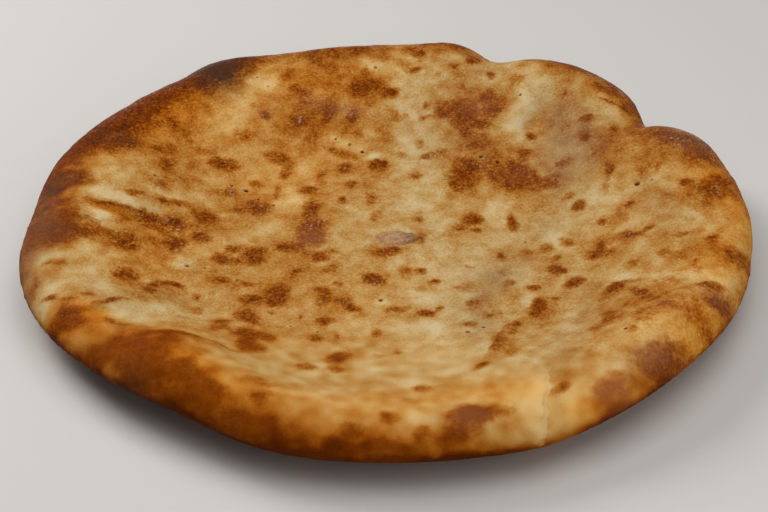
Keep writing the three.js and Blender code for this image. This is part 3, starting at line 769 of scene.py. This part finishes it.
# %% Small round touches
TOUCHES = [
    # x, y, reach, hundredths of browning
    (-112, 68, 9, 8), (-85, 22, 6, 10), (-75, 15, 5, 14), (-104, 11, 4, 8), (-50, 25, 4, 14),
    (-60, 45, 7, 8), (-90, 45, 7, 8), (-61, -7, 4, 12), (-72, 4, 4, 10), (-36, 5, 3, 10),
    (-24, 4, 3, 10), (-13, 1, 3, 10), (-27, 53, 4, 12), (-11, 58, 3, 10), (-4, 71, 5, 10),
    (-5, 103, 4, 12), (-36, 95, 4, 10), (54, 84, 4, 15), (58, 91, 4, 10), (83, 77, 4, 10),
    (23, 53, 3, 10), (34, 36, 4, 12), (123, 26, 5, 10), (53, 4, 4, 12), (81, -28, 4, 12),
    (58, -15, 3, 12), (26, -24, 4, 10), (-33, -48, 3, 14), (-8, -30, 4, 8), (-15, -27, 3, 10),
    (0, -53, 3, 14), (-56, -60, 3, 12), (-70, -75, 6, 10), (38, -59, 3, 10), (87, -52, 3, 12),
    (82, -96, 4, 12), (40, -118, 4, 12), (-62, -100, 3, 10), (-8, -118, 3, 10), (-48, -128, 5, 8),
    (27, -132, 3, 10), (-6, -95, 4, 10), (-138, -44, 5, 12), (-52, -123, 5, 8), (-37, -131, 5, 10),
    (-72, -112, 6, 6), (20, -135, 5, 7), (74, -116, 4, 10), (95, -101, 5, 8), (134, 16, 5, 7),
    (70, 98, 4, 12), (9, 124, 4, 13), (-50, 112, 4, 10), (-47, 102, 4, 6), (-137, 20, 5, 8),
    (-139, -28, 4, 10), (-120, -12, 6, -10), (-112, -22, 5, -12), (-133, -33, 5, -22),
    (-115, 55, 6, -8), (-88, 86, 5, -8), (-75, 88, 4, -6), (-110, 28, 4, -14), (-129, 28, 5, -6),
    (-120, 18, 6, -8), (-90, 17, 3, -10), (-46, 9, 4, -12), (-57, -16, 6, -9), (-75, -2, 3, -12),
    (-27, -14, 4, -8), (-8, -16, 4, -8), (-3, 3, 3, -10), (19, 0, 5, -10), (44, -10, 5, -10),
    (54, -24, 4, -8), (64, -36, 4, -10), (74, -39, 3, -8), (90, -40, 5, -14), (98, -33, 3, -10),
    (109, 4, 4, -10), (119, -3, 4, -10), (138, 6, 4, -10), (132, -33, 5, -10), (118, -56, 4, -14),
    (96, -66, 4, -12), (111, -71, 6, -13), (89, -75, 4, -10), (75, -103, 5, -12), (62, -103, 3, -10),
    (50, -82, 4, -8), (31, -87, 3, -12), (26, -74, 4, -10), (27, -44, 5, -14), (4, -42, 3, -10),
    (55, -42, 4, -12), (-36, -40, 3, -10), (-48, -49, 4, -10), (-101, -50, 4, -8), (-103, -86, 5, -10),
    (-90, -76, 4, -10), (-76, -105, 4, -10), (-79, -92, 4, -8), (-127, -64, 5, -12),
    (-31, -122, 3, -12), (-40, -90, 5, -10), (-36, 55, 4, -10), (-12, 47, 2.5, -10), (-7, 36, 3, -12),
    (-20, 66, 3.5, -12), (1, 61, 2, -10), (-33, 38, 4, -8), (18, 31, 4, -8), (85, 89, 4, -12),
    (104, 36, 6, -12), (97, 20, 4, -10), (23, 86, 4, -8), (42, 110, 5, -10), (22, 113, 4, -8),
    (4, 126, 4, -10), (76, 95, 4, -12), (54, 104, 4, -12), (46, 106, 4, -8), (9, 118, 4, -12),
    (-30, 113, 4, -13), (-29, 107, 4, -8), (69, -113, 3, -10), (108, 46, 5, -10), (-130, -66, 4, -20),
    (66, 91, 3, -6), (-83, -21, 3.5, -28), (-85, -32, 3, -14), (-18.5, 63.5, 2.5, -20),
    (-12.5, 59.5, 2.5, -20), (-7, 55.5, 2.5, -24), (-24, 67, 2, -16), (-7, 110.5, 3, -16),
    (66, -92, 8, 8), (58, -99, 6, 5), (86, 71, 4, -12), (-126, -58, 4, -10), (88, 92, 7, -10),
    (97, 80, 6, -8), (80, 100, 6, -6), (12, 124, 3, 12), (-37, 127, 5, 8), (-36, 125, 4, 6),
    (74, 105, 4, 8), (122, 43, 6, 6), (126, 36, 5, 10), (98, -84, 4, 8), (106, -88, 4, 8),
    (130, 33, 3, 10), (96, -102, 6, 16), (100, -98, 4, 10), (86, -108, 5, 8), (76, -116, 4, 8),
    (-94, 12, 4, 10), (-105, 11, 4, 8), (-60, 10, 5, 10), (-90, -22, 5, 14), (-80, -28, 4, 10),
    (-75, -8, 4, 10), (-98, 25, 5, 12), (-119, 24, 4, 10), (-48, 18, 4, 10), (-11, 58, 3, 12),
    (-13, 66, 4, 10), (35, -40, 4, 8), (52, -41, 3, 10), (92, -32, 4, 10), (41, -118, 4, 10),
    (-33, -85, 3, 12), (2, -105, 4, 10), (52, 113, 4, 16), (-84, 57, 3, 6), (12, 96, 3, 8),
    (2, -5, 2, 4), (-48, -16, 5, -10), (-66, -17, 4, -8), (-29, -14, 4, -8), (-8, -25, 3, -8),
    (2, -26, 3, -10), (-36, 36, 4, -8), (-107, 56, 5, -10), (-132, 28, 5, -8), (-137, 5, 5, -8),
    (-97, 4, 4, -8), (-122, -8, 5, -10), (73, 22, 5, -10), (80, 14, 4, -8), (110, 5, 4, -8),
    (90, -41, 5, -10), (118, -56, 3, -10), (111, -72, 4, -10), (-75, -105, 4, -10), (-104, -93, 6, -10),
    (54, -44, 3, -8), (-42, 113, 4, -8), (-9, -38, 3, -8), (-66, -83, 5, -8), (62, -94, 5, -8),
    (33, -108, 4, -8), (25, -137, 8, -8), (88, -9, 4, -8), (28, -52, 4, -8), (5, 125, 4, -10),
    (-57, 47, 4, -6),
]
print("touches:", len(TOUCHES))

# %% [markdown]
# ## Warmth, char and painted blister sheen
# Three more things change the colour. Crust fired close to the wall turns amber, and where the
# dough is stretched thin the grey-violet beans show through: one field, warmth, holds both, amber
# above nothing and dusty grey below it. One corner of the rim touched the oven wall and charred.
# And a pink painted sheen stands for the light that the glossy skin of the larger blisters reflects.

# %% Amber and dusty places
WARMTH = [
    # x, y, long, wide, hundredths of amber, or of dust where negative, turn
    (-106, 74, 30, 18, 100, 52), (-62, 55, 50, 48, 35), (-30, 100, 26, 22, 15), (-95, -15, 18, 28, 35),
    (-20, -35, 40, 28, 20), (-72, -106, 26, 13, 90, -35), (-10, -118, 55, 12, 50),
    (45, -110, 25, 8, 50), (102, -84, 28, 14, 70, 42), (127, -38, 10, 30, 60, -10),
    (127, 18, 12, 10, 50), (-50, -73, 14, 8, 30), (75, 55, 14, 36, -90), (72, 81, 7, 12, -25, 30),
    (30, 75, 22, 30, -35), (45, 105, 10, 10, -35), (124, 44, 14, 9, -50, -30), (108, 2, 8, 18, -40, 20),
    (62, 6, 12, 8, -45, 40), (42, -28, 8, 20, -60, -32), (33, -58, 8, 18, -70), (22, -32, 20, 20, -15),
    (-74, 104, 11, 16, -50), (-139, 0, 7, 45, -60), (-136, -48, 8, 20, -50, 20),
    (-105, -60, 22, 10, -40, -35), (-80, -46, 14, 8, -20), (60, -86, 8, 22, -45),
    (72, -58, 6, 20, -40, -12), (-26, 83, 10, 5, -50), (-95, 5, 16, 4, -30), (-79, -22, 5, 5, -40),
    (-32, -4, 8, 6, -30), (88, -25, 28, 16, -15), (2.5, -3.5, 8, 5, -160, -8),
    (-100, 94, 34, 10, 60, 45), (-126, 56, 8, 30, 70, -25), (-140, -4, 5, 30, 30),
    (140, 22, 8, 22, 120), (140, -10, 8, 22, 70), (-74, -120, 20, 8, 50, -30), (-40, -135, 30, 8, 40),
    (68, -116, 24, 9, 50, 25), (122, 62, 8, 10, 50), (-80, 84, 26, 16, 30, 40), (42, -28, 7, 6, -50),
    (76, 50, 9, 14, -50), (-25, 100, 26, 12, 40), (93, -96, 10, 6, -80, 30), (12, 60, 12, 34, -30),
    (115, -40, 14, 14, 30), (119, -64, 7, 5, -60, 20), (76, -111, 7, 4, -40, 30), (27, -124, 9, 6, -80),
    (-129, 17, 8, 6, -30), (-113, 49, 8, 6, -60), (127, 34, 8, 6, -20, -60), (-96, 82, 20, 10, 50, 50),
    (-114, -72, 12, 9, 80, -30), (-88, -92, 16, 8, 50, -20), (116, -73, 8, 8, 70),
    (72, -118, 10, 6, 60, 30), (94, -102, 14, 4, 70, 38), (-5, -136, 40, 5, 40),
    (-112, 1, 9, 3, 40, -10), (134, 17, 6, 8, 50), (106, -86, 6, 5, 50, 30), (-40, 55, 40, 30, 15),
    (100, 74, 20, 10, 40, -40), (-120, -72, 8, 8, 50), (-118, 55, 14, 10, 30, 60),
    # (57, -112) is painted shade: grey on the low side of the near right seam
    (-106, -72, 8, 6, 40), (8, 0, 40, 50, -12), (57, -112, 4, 12, -35), (-132, -33, 6, 4, -50),
    (95, -101, 8, 5, -40, 35), (70, -112, 6, 5, -30),
]
print("warm and dusty places:", len(WARMTH))

# %% Charred places and painted sheen
CHAR = [
    # x, y, long, wide, strength in hundredths, turn
    (-75.5, 104, 10, 16, 100, 5), (-52, 124, 16, 4, 25, -25), (-113, 48.5, 7, 5, 35),
    (-129, 17, 8, 5, 30), (-131, -17, 8, 9, 35), (122, 44, 8, 6, 15, -40), (-92, -104, 9, 5, 30, -40),
]
PAINTED_SHEEN_PLACES = [
    (92, -95.5, 9, 4.5, 27, 32), (76, -110, 8, 4.5, 27, 30), (27, -124, 8, 5, 9), (-31, -3, 9, 7, 17),
    (38, 85, 8, 6, 12), (52, 41, 9, 5, 8), (120, -62, 7, 5, 15, 20), (-131, -15, 8, 9, 10),
    (-18, 83, 10, 5, 17), (-33, 88, 6, 5, 12), (-55, 78, 6, 4, 12), (101, -71, 7, 5, 12),
    (123, 39, 8, 6, 12, -60),
]
print("charred places:", len(CHAR), "and rosy ones:", len(PAINTED_SHEEN_PLACES))


# %% Add up the ground and the warmth
def summed(rows, plan):
    """Soft ovals added up, each times its share in hundredths."""
    total = np.zeros(len(skin.x))
    for x, y, long, wide, hundredths, *turn in rows:
        total += hundredths / 100 * oval(x, y, long, wide, *(turn or [0]), plan)
    return total


DOUGH_TONE = 0.19
RIM_BROWN = 0.2
FOOT_BROWN_AND_SHADE = 0.3
DARKEST_GROUND = 0.84
HALO_SPREAD = 1.8
HALO_BROWN = 0.16

plan = warped_plan()
tones = RIM_TONES + GOLDEN_TONES + PALE_LEFT_TONES + PALE_RIGHT_TONES + SINGLE_TONES
ground = DOUGH_TONE + 0.25 * lumps(9, 22) + 0.2 * lumps(4.5, 23) + summed(tones, plan)
ground += summed([(x, y, reach, reach, share) for x, y, reach, share in TOUCHES], plan)
# faces that turn down are darker: the baked underside is browner, and under the rim's foot the
# darkening is painted shade
ground += RIM_BROWN * ramp(0.8, 0.1, skin.facing_up) + FOOT_BROWN_AND_SHADE * ramp(0.35, -0.25, skin.facing_up)
ground = np.minimum(ground, DARKEST_GROUND)
ground += HALO_BROWN * screened(SPOTS, plan, spread=HALO_SPREAD)
char = screened(CHAR, plan)
ground += 0.15 * char + on_top(sum(lip_browning_light_and_shade(lip) for lip in FOLD_LIPS))
warmth = 0.06 + 0.15 * lumps(30, 31) + summed(WARMTH, plan)
print("ground from", round(float(ground.min()), 2), "to", round(float(ground.max()), 2))

# %% Mark the pinholes and the flake
HOLE_SHADE = 1.0
RING_PALE = 0.16
RING_DUST = 0.12
FLAKE_EDGE = 0.3

for x, y, radius, ring in PINHOLES:
    away = np.hypot(skin.x - x, skin.y - y)
    ringed = on_top(bell(away / ring))
    # the inside of each pinhole is darkened as painted shade
    ground += on_top(HOLE_SHADE * np.exp(-((away / radius) ** 4))) - RING_PALE * ringed
    warmth -= RING_DUST * ringed
flaked = on_top(ramp(1.08, 0.88, flake))
flake_tone = 0.25 + 0.5 * lumps(2.2, 54) + 0.5 * ramp(0, 7, skin.x - VENT[0])
ground += flaked * (flake_tone - ground) + on_top(FLAKE_EDGE * bell((flake - 1.0) / 0.09))
print("vertices on the flake:", int((flaked > 0.5).sum()))

# %% [markdown]
# The near roll and the far left edge are smooth and dull, and the rest of the crust is grainy.
# Two last fields say where. Then every field is stored on the mesh by name, because a material
# can read it from there and the colours stay with the bread wherever it goes. Dust stays off
# the underside, where no beans show.

# %% Keep the fields on the mesh
def keep_on_mesh(name, values):
    """Stores one number a vertex under a name that the material can read."""
    kept = bread.data.attributes.new(name, "FLOAT", "POINT")
    kept.data.foreach_set("value", values.astype(np.float32))


grainy = 0.15 + 0.85 * ramp(-88, -48, skin.y + 0.35 * np.maximum(skin.x, 0))
grainy *= 1 - 0.55 * ramp(-112, -136, skin.x)
dull = np.maximum(1 - grainy, 0.9 * ramp(0.9, 0.5, skin.facing_up))
warmth = np.clip(np.where(warmth < 0, on_top(warmth), warmth), -1, 1)

keep_on_mesh("ground", ground)
keep_on_mesh("spotted", spots * (1 - flaked))
keep_on_mesh("warmth", warmth)
keep_on_mesh("blister", on_top(blister_share()))
keep_on_mesh("bubbled", bubbled)
keep_on_mesh("char", char)
keep_on_mesh("rosy", on_top(screened(PAINTED_SHEEN_PLACES, plan)))
keep_on_mesh("grainy", grainy)
keep_on_mesh("dull", dull)
keep_on_mesh("flaked", flaked)
bread.data.shade_smooth()
print("kept:", [a.name for a in bread.data.attributes if a.domain == "POINT"])

# %% [markdown]
# ## The crust's material
# Shader maths reads best as plain sums. One small class wraps a socket, so that adding or
# multiplying two of them adds the Math node for it. A second one adds every other kind of node.

# %% Sockets as numbers
class Amount:
    """A shader socket that can be added, taken away and multiplied."""

    def __init__(self, recipe, socket):
        self.recipe = recipe
        self.socket = socket

    def math(self, operation, *values):
        """The amount that one Math node makes of the values."""
        return self.recipe.node("ShaderNodeMath", {"operation": operation}, dict(enumerate(values)))

    def __add__(self, other):
        return self.math("ADD", self, other)

    def __radd__(self, other):
        return self.math("ADD", other, self)

    def __sub__(self, other):
        return self.math("SUBTRACT", self, other)

    def __rsub__(self, other):
        return self.math("SUBTRACT", other, self)

    def __mul__(self, other):
        return self.math("MULTIPLY", self, other)

    def __rmul__(self, other):
        return self.math("MULTIPLY", other, self)

    def held(self):
        """The amount kept between 0 and 1."""
        return self.math("MINIMUM", self.math("MAXIMUM", self, 0.0), 1.0)

    def above(self, start, end):
        """0 up to start, 1 from end on."""
        return ((self - start) * (1 / (end - start))).held()


print("an amount can:", [name for name in vars(Amount) if name[0] != "_"])


# %% A recipe that adds nodes
class Recipe:
    """Adds nodes to one material."""

    def __init__(self, name):
        self.material = bpy.data.materials.new(name)
        self.material.use_nodes = True
        self.tree = self.material.node_tree
        self.inputs = principled(self.material)

    def node(self, kind, settings=None, inputs=None, out=0):
        """One node: its settings first, then values or links for its sockets."""
        made = self.tree.nodes.new(kind)
        for name, value in (settings or {}).items():
            if name == "stops":
                self.set_stops(made.color_ramp, value)
            else:
                setattr(made, name, value)
        for key, value in (inputs or {}).items():
            self.feed(made.inputs[key], value)
        return Amount(self, made.outputs[out])

    def feed(self, socket, value):
        """Links an amount to the socket, or sets a plain value on it."""
        if isinstance(value, Amount):
            self.tree.links.new(value.socket, socket)
        else:
            socket.default_value = value

    def set_stops(self, color_ramp, stops):
        """A ramp's stops as (place, colour) pairs."""
        while len(color_ramp.elements) < len(stops):
            color_ramp.elements.new(1.0)
        for element, (place, colour) in zip(color_ramp.elements, stops):
            element.position = place
            element.color = (*colour, 1)

    def field(self, name):
        """A number kept on the mesh."""
        return self.node("ShaderNodeAttribute", {"attribute_name": name}, out="Fac")

    def grain(self, size_mm, detail=1.0, rough=0.5):
        """Noise around 0 with lumps of the given size, on the piece's own coordinates."""
        place = self.node("ShaderNodeTexCoord", out="Object")
        inputs = {"Vector": place, "Scale": 1000 / size_mm, "Detail": detail, "Roughness": rough}
        return self.node("ShaderNodeTexNoise", {}, inputs) - 0.5

    def mixed(self, share, first, second, blend="MIX"):
        """The first colour, with a share of the second."""
        settings = {"data_type": "RGBA", "blend_type": blend}
        return self.node("ShaderNodeMix", settings, {0: share, 6: first, 7: second}, out=2)


crust = Recipe("baked crust")
print("material:", crust.material.name)

# %% [markdown]
# ## From browning to colour
# All the browning comes together in one number. Spots are laid over the ground first, with edges
# torn by a coarse grain so that they look baked and not painted. Grains and pores then vary it
# everywhere, and more where it is browner. Tiny blisters take some of it away at their tops,
# partly as paler dough and partly as painted highlight, and sharp glints take more away as painted
# highlights.

# %% Grain, pores and specks
def specks(size_mm, fullness):
    """Tiny blisters of uneven width: round caps, wider where the fullness is higher."""
    place = crust.node("ShaderNodeTexCoord", out="Object")
    inputs = {"Vector": place, "Scale": 1000 / size_mm}
    cells = crust.node("ShaderNodeTexVoronoi", {}, inputs, "Distance")
    chance = Amount(crust, cells.socket.node.outputs["Color"])
    return ((chance * 1.1 + fullness - cells) * 2.5).held()


def eased(amount):
    """A share between 0 and 1 with soft ends."""
    return amount * amount * (3.0 - amount * 2.0)


coarse = crust.grain(3.6, detail=2.0)
fine = crust.grain(1.3)
pores = crust.grain(0.9, detail=2.0, rough=0.6)
gathered = crust.grain(7.0).above(-0.14, 0.1)
ground = crust.field("ground")
spotted = crust.field("spotted")
grainy = crust.field("grainy")
blister = crust.field("blister")
warmth = crust.field("warmth")
print("nodes for grain and fields:", len(crust.tree.nodes))

# %% Browning
SPOT_BROWN = 0.75
TORN_COARSE = 0.42
TORN_FINE = 0.14

torn = (coarse * TORN_COARSE + fine * TORN_FINE) * spotted.above(0.03, 0.25)
spot_share = eased((spotted + torn).above(0.04, 0.9))
baked = ground + (SPOT_BROWN - ground) * spot_share
browned = baked.above(0.1, 0.6)
pimples = specks(1.1, browned * 0.28 - 0.42) * grainy * (0.3 + 0.7 * gathered)
glints = specks(0.95, -0.58) * grainy
# of each pair, the first is the strength on pale dough and the second is what browning adds
browning = baked + coarse * (0.15 + 0.22 * browned) * (0.45 + 0.55 * grainy)
browning = browning + (fine * (0.36 + 0.2 * browned) + pores * 0.36) * grainy
# pimples lighten partly as paler dough and partly as painted highlight, glints as painted highlights
browning = browning - pimples * (0.08 + 0.14 * browned) - glints * (0.2 + 0.3 * browned)
print("nodes with the browning:", len(crust.tree.nodes))

# %% [markdown]
# A ramp turns the browning into colour, from raw dough through straw, gold and chestnut to
# black. Dough browns through orange, so green falls faster than red, and blue is gone long
# before either. Amber and dust then tint it, and a pink painted sheen on the blisters, the pale
# bubble tops with their painted glints, the dried flake and the char are each laid over it as a coat.

# %% The colours of baking
BAKING = [
    # browning from -0.2 to 1.3, and the colour there
    (-0.2, (0.625, 0.475, 0.262)), (-0.05, (0.575, 0.41, 0.192)), (0.08, (0.518, 0.325, 0.121)),
    (0.2, (0.468, 0.254, 0.073)), (0.32, (0.42, 0.192, 0.04)), (0.44, (0.37, 0.138, 0.019)),
    (0.56, (0.308, 0.092, 0.008)), (0.68, (0.232, 0.054, 0.003)), (0.8, (0.161, 0.031, 0.001)),
    (0.92, (0.102, 0.018, 0.001)), (1.05, (0.053, 0.01, 0.001)), (1.3, (0.015, 0.005, 0.003)),
]
RAW, BURNT = BAKING[0][0], BAKING[-1][0]
UNTINTED = (1, 1, 1, 1)
AMBER_PALE = (1.22, 0.91, 0.42, 1)
AMBER_BROWN = (1.06, 1.03, 0.5, 1)
DUST = (0.262, 0.202, 0.122, 1)
SHEEN_ROSE = (0.56, 0.24, 0.125, 1)
BUBBLE_TOP_AND_GLINT = (0.66, 0.37, 0.21, 1)
FLAKE_PALE = (0.46, 0.26, 0.13, 1)
FLAKE_DARK = (0.2, 0.12, 0.072, 1)
CHARCOAL = (0.07, 0.026, 0.012, 1)

stops = [((place - RAW) / (BURNT - RAW), colour) for place, colour in BAKING]
on_the_ramp = (browning - RAW) * (1 / (BURNT - RAW))
tone = crust.node("ShaderNodeValToRGB", {"stops": stops}, {"Fac": on_the_ramp})
amber = crust.mixed(baked.above(0.3, 0.75), AMBER_PALE, AMBER_BROWN)
colour = crust.mixed(1.0, tone, crust.mixed(warmth.held(), UNTINTED, amber), "MULTIPLY")
print("colours from raw to burnt:", len(BAKING))

# %% Coats of dust, painted sheen, bubble tops with painted glints, flake and char
dusty = (warmth * -0.42).held() * (1.0 - spot_share * 0.75)
colour = crust.mixed(dusty, colour, DUST)
# a pink painted sheen stands for the light that glossy blister skin reflects
rosy = crust.field("rosy") * (1.0 + coarse * 1.6 + pores * 1.6)
colour = crust.mixed(rosy.held(), colour, SHEEN_ROSE)
# the bubble tops are paler partly as thin skin and partly as a painted glint on each bubble
bubble_tops_and_glints = crust.field("bubbled").above(0.5, 0.95) * 0.5 + pimples * browned * blister * 0.14
colour = crust.mixed(bubble_tops_and_glints.held(), colour, BUBBLE_TOP_AND_GLINT)
flake_share = (ground + fine * 0.8 + pores * 0.9).above(0.15, 0.8)
colour = crust.mixed(crust.field("flaked"), colour, crust.mixed(flake_share, FLAKE_PALE, FLAKE_DARK))
charred = crust.field("char") * (fine * 2.0 + 1.3)
colour = crust.mixed(charred.held(), colour, CHARCOAL)
crust.feed(crust.inputs["Base Color"], colour)
print("nodes with the colour:", len(crust.tree.nodes))

# %% [markdown]
# ## Gloss and grain
# Baked crust is nearly matt. Only blister skin has a thin shine, which is a coat on the bubbles
# alone. The dull field keeps the steep outer rim from mirroring the room, and the little
# reflection that is left is tinted like the crust. Pores, dimples and specks too small for the
# skin's faces are a bump of half a millimetre at most.

# %% Gloss and grain of the crust
BUMP_DEPTH = 0.0005

roughness = 0.48 + 0.4 * crust.field("dull") - 0.1 * browned - 0.2 * blister
roughness = roughness + fine * 0.4 - pimples * 0.15
crust.feed(crust.inputs["Roughness"], roughness.held())
crust.feed(crust.inputs["Specular IOR Level"], 0.06)
crust.feed(crust.inputs["Specular Tint"], (1, 0.62, 0.22, 1))
crust.feed(crust.inputs["Coat Weight"], (crust.field("bubbled") * 0.35).held())
crust.feed(crust.inputs["Coat Roughness"], 0.22)

dimples = crust.grain(2.6)
height = (pores * 0.35 + dimples * 0.9) * (0.3 + 0.7 * grainy)
height = height + pimples * (0.2 + 0.5 * browned + 0.4 * blister) + glints * 0.5
bump_inputs = {"Strength": 0.9, "Distance": BUMP_DEPTH, "Height": height}
crust.feed(crust.inputs["Normal"], crust.node("ShaderNodeBump", {}, bump_inputs))
bread.data.materials.append(crust.material)
print("nodes in all:", len(crust.tree.nodes))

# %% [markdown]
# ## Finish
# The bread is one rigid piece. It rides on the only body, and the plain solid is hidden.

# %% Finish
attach(bread, "root")
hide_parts(NODE)
